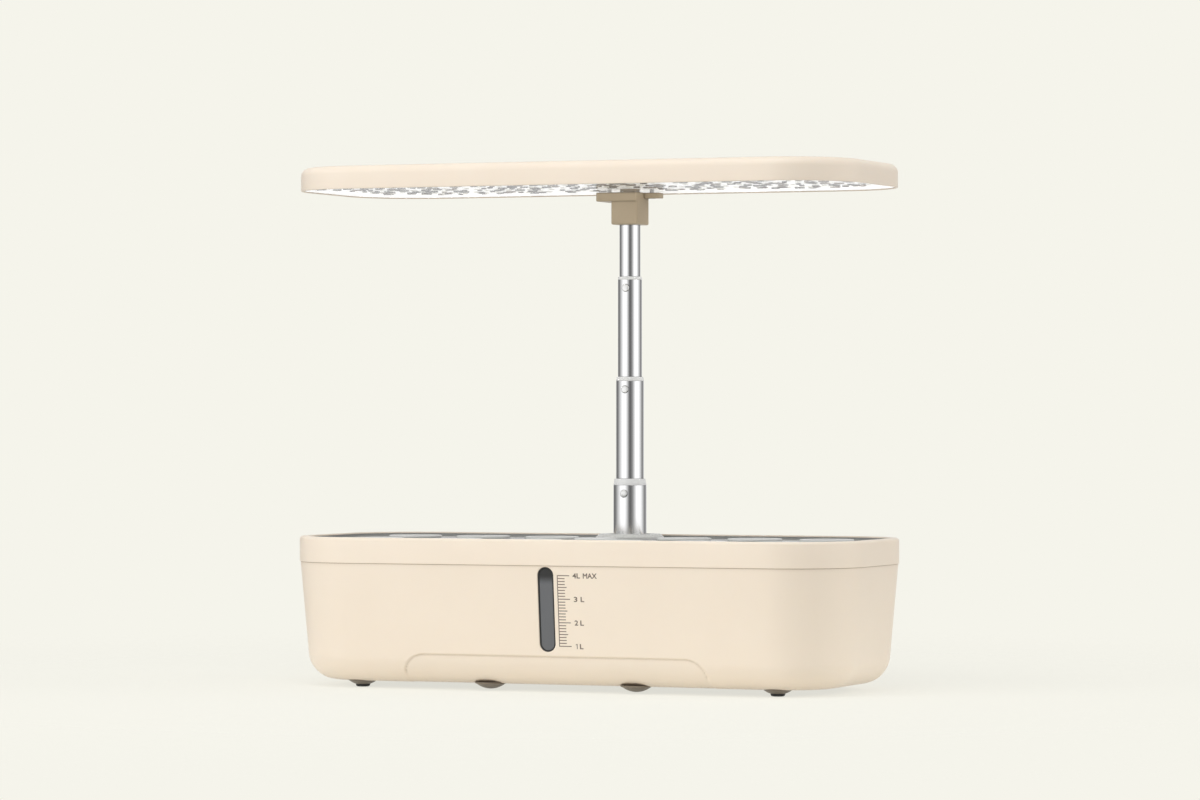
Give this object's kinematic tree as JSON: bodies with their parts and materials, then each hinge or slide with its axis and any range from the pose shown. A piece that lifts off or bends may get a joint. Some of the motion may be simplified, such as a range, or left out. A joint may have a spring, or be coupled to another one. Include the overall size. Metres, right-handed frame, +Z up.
{
  "type": "countertop hydroponic garden",
  "caption": "Tabletop water garden: tapered tank with level window, lift-off deck with net baskets and pump, and a telescoping mast that carries a flat grow lamp.",
  "frame": {"origin": "middle of the footprint, on the surface that the feet stand on", "axes": "+X along the length, to the right seen from the front; +Y to the back, where the mast stands; +Z up"},
  "size_m": [0.416, 0.172, 0.3623],
  "materials": {
    "cream_plastic": "satin moulded",
    "deck_plastic": "satin moulded",
    "basket_plastic": "satin moulded",
    "window_pane": "clear, smoke tinted",
    "clear_lens": "clear, glossy",
    "rubber": "matt",
    "mast_steel": "polished",
    "collar_plastic": "satin",
    "white_plastic": "satin",
    "spring_steel": "polished",
    "screw_steel": "zinc plated",
    "black_plastic": "satin",
    "lead_jacket": "satin",
    "riser_hose": "translucent silicone",
    "taupe_plastic": "satin moulded",
    "board_white": "white solder mask",
    "led_phosphor": "satin",
    "board_green": "solder mask"
  },
  "bodies": {
    "base": {"tank_shell": "cream_plastic", "level_window": "window_pane", "window_gasket": "rubber", "foot_pads": "rubber"},
    "deck": {"rim_frame": "cream_plastic", "planting_deck": "deck_plastic", "hub_ring": "collar_plastic", "mast_sleeve": "deck_plastic", "sleeve_screws": "screw_steel", "dc_inlet": "black_plastic", "inlet_nut": "screw_steel", "deck_leads": "lead_jacket", "pump_body": "black_plastic", "pump_cover": "black_plastic", "impeller_shaft": "white_plastic", "riser_tube": "riser_hose"},
    "pump_rotor": {"impeller": "white_plastic"},
    "cap": {"fill_cap": "deck_plastic"},
    "mast_1": {"mast_plug": "black_plastic", "tube_1": "mast_steel", "collar_1": "collar_plastic", "mast_lead_1": "lead_jacket"},
    "mast_2": {"tube_2": "mast_steel", "slide_bush_2": "white_plastic", "collar_2": "collar_plastic", "mast_lead_2": "lead_jacket"},
    "mast_3": {"tube_3": "mast_steel", "slide_bush_3": "white_plastic", "collar_3": "collar_plastic", "mast_lead_3": "lead_jacket"},
    "lamp": {"tube_4": "mast_steel", "slide_bush_4": "white_plastic", "mast_lead_4": "lead_jacket", "head_bracket": "taupe_plastic", "bracket_screws": "screw_steel", "lamp_housing": "cream_plastic", "lens_cover": "clear_lens", "led_board": "board_white", "led_chips": "led_phosphor", "control_board": "board_green"},
    "clip_1": {"snap_clip_1": "spring_steel"},
    "clip_2": {"snap_clip_2": "spring_steel"},
    "clip_3": {"snap_clip_3": "spring_steel"},
    "power_key": {"power_button": "white_plastic"},
    "timer_key": {"timer_button": "white_plastic"},
    "pod_1": {"basket_1": "basket_plastic"},
    "pod_2": {"basket_2": "basket_plastic"},
    "pod_3": {"basket_3": "basket_plastic"},
    "pod_4": {"basket_4": "basket_plastic"},
    "pod_5": {"basket_5": "basket_plastic"},
    "pod_6": {"basket_6": "basket_plastic"},
    "pod_7": {"basket_7": "basket_plastic"},
    "pod_8": {"basket_8": "basket_plastic"},
    "pod_9": {"basket_9": "basket_plastic"},
    "pod_10": {"basket_10": "basket_plastic"},
    "pod_11": {"basket_11": "basket_plastic"},
    "pod_12": {"basket_12": "basket_plastic"}
  },
  "joints": [
    {"name": "deck_lift", "type": "slide", "parent": "base", "child": "deck", "axis": [0, 0, 1], "range_m": [0, 0.09]},
    {"name": "impeller_spin", "type": "hinge", "parent": "deck", "child": "pump_rotor", "pos_m": [0.094, -0.003, 0.0204], "axis": [1, 0, 0], "continuous": true},
    {"name": "fill_cap_lift", "type": "slide", "parent": "deck", "child": "cap", "axis": [0, 0, 1], "range_m": [0, 0.025]},
    {"name": "mast_pull", "type": "slide", "parent": "deck", "child": "mast_1", "axis": [0, 0, 1], "range_m": [0, 0.05]},
    {"name": "tube_2_slide", "type": "slide", "parent": "mast_1", "child": "mast_2", "axis": [0, 0, 1], "range_m": [-0.055, 0], "deforming": ["mast_lead_1"]},
    {"name": "tube_3_slide", "type": "slide", "parent": "mast_2", "child": "mast_3", "axis": [0, 0, 1], "range_m": [-0.05, 0], "deforming": ["mast_lead_2"]},
    {"name": "tube_4_slide", "type": "slide", "parent": "mast_3", "child": "lamp", "axis": [0, 0, 1], "range_m": [-0.034, 0], "deforming": ["mast_lead_3"]},
    {"name": "clip_1_press", "type": "slide", "parent": "mast_2", "child": "clip_1", "axis": [0, 1, 0], "range_m": [0, 0.0024], "stiffness_N_per_m": 400, "deforming": ["snap_clip_1"]},
    {"name": "clip_2_press", "type": "slide", "parent": "mast_3", "child": "clip_2", "axis": [0, 1, 0], "range_m": [0, 0.0024], "stiffness_N_per_m": 400, "deforming": ["snap_clip_2"]},
    {"name": "clip_3_press", "type": "slide", "parent": "lamp", "child": "clip_3", "axis": [0, 1, 0], "range_m": [0, 0.0024], "stiffness_N_per_m": 400, "deforming": ["snap_clip_3"]},
    {"name": "power_press", "type": "slide", "parent": "lamp", "child": "power_key", "axis": [0, 0, -1], "range_m": [0, 0.0008], "stiffness_N_per_m": 1500},
    {"name": "timer_press", "type": "slide", "parent": "lamp", "child": "timer_key", "axis": [0, 0, -1], "range_m": [0, 0.0008], "stiffness_N_per_m": 1500},
    {"name": "basket_1_lift", "type": "slide", "parent": "deck", "child": "pod_1", "axis": [0, 0, 1], "range_m": [0, 0.06]},
    {"name": "basket_2_lift", "type": "slide", "parent": "deck", "child": "pod_2", "axis": [0, 0, 1], "range_m": [0, 0.06]},
    {"name": "basket_3_lift", "type": "slide", "parent": "deck", "child": "pod_3", "axis": [0, 0, 1], "range_m": [0, 0.06]},
    {"name": "basket_4_lift", "type": "slide", "parent": "deck", "child": "pod_4", "axis": [0, 0, 1], "range_m": [0, 0.06]},
    {"name": "basket_5_lift", "type": "slide", "parent": "deck", "child": "pod_5", "axis": [0, 0, 1], "range_m": [0, 0.06]},
    {"name": "basket_6_lift", "type": "slide", "parent": "deck", "child": "pod_6", "axis": [0, 0, 1], "range_m": [0, 0.06]},
    {"name": "basket_7_lift", "type": "slide", "parent": "deck", "child": "pod_7", "axis": [0, 0, 1], "range_m": [0, 0.06]},
    {"name": "basket_8_lift", "type": "slide", "parent": "deck", "child": "pod_8", "axis": [0, 0, 1], "range_m": [0, 0.06]},
    {"name": "basket_9_lift", "type": "slide", "parent": "deck", "child": "pod_9", "axis": [0, 0, 1], "range_m": [0, 0.06]},
    {"name": "basket_10_lift", "type": "slide", "parent": "deck", "child": "pod_10", "axis": [0, 0, 1], "range_m": [0, 0.06]},
    {"name": "basket_11_lift", "type": "slide", "parent": "deck", "child": "pod_11", "axis": [0, 0, 1], "range_m": [0, 0.06]},
    {"name": "basket_12_lift", "type": "slide", "parent": "deck", "child": "pod_12", "axis": [0, 0, 1], "range_m": [0, 0.06]}
  ],
  "couplings": [
    {"joint": "clip_1_press", "follows": "tube_2_slide", "ratio": -0.0436},
    {"joint": "clip_2_press", "follows": "tube_3_slide", "ratio": -0.0479},
    {"joint": "clip_3_press", "follows": "tube_4_slide", "ratio": -0.0705}
  ]
}
